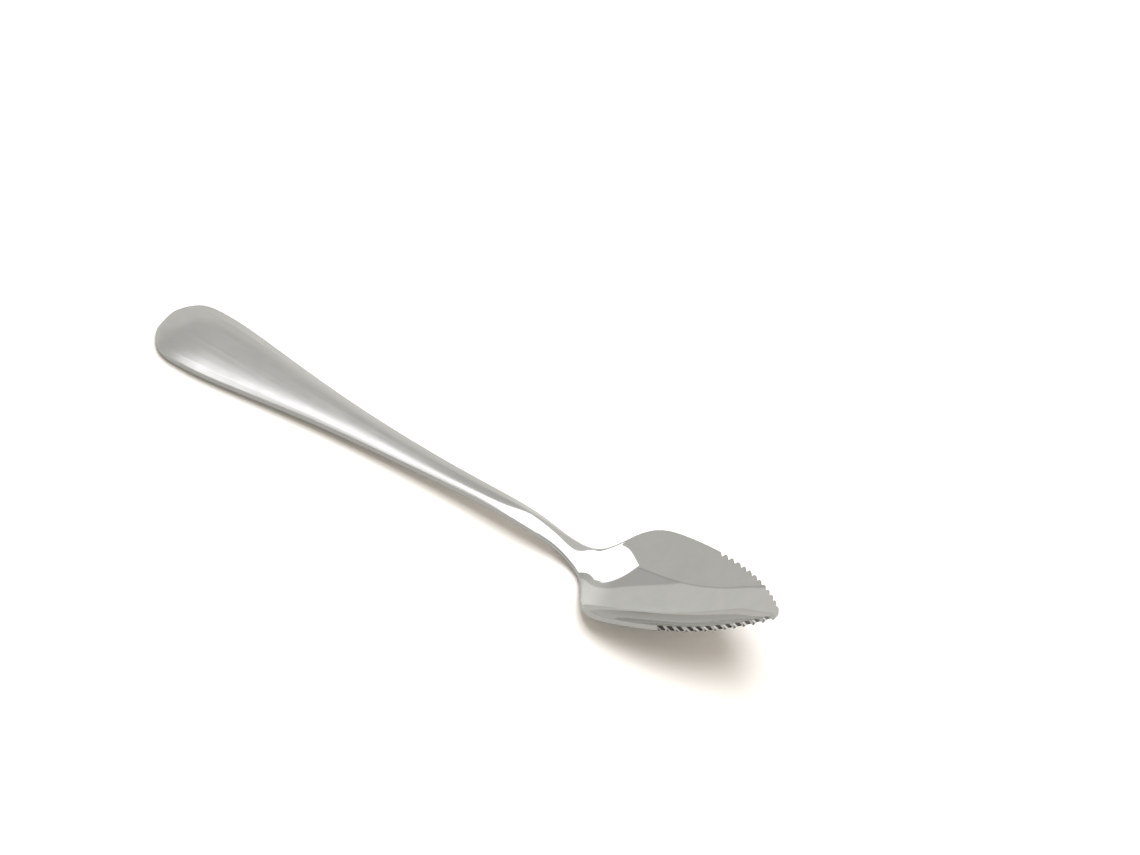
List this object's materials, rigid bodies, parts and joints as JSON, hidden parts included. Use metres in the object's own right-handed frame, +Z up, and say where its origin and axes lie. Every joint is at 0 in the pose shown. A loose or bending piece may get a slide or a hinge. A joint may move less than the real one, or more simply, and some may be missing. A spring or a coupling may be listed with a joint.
{
  "type": "grapefruit spoon",
  "caption": "Grapefruit spoon with a broad rounded handle, a slender arched stem and a dished, pointed bowl whose front rim is fluted into cutting teeth.",
  "frame": {"origin": "on the table, under the middle of the spoon's length and width", "axes": "+X from the handle's end to the bowl's tip, +Z up, +Y to the left when looking from the handle to the tip"},
  "size_m": [0.164, 0.0276, 0.0224],
  "materials": {
    "polished_steel": "mirror-polished stainless steel"
  },
  "bodies": {
    "root": {"handle": "polished_steel", "stem": "polished_steel", "neck": "polished_steel", "bowl": "polished_steel"}
  },
  "joints": []
}
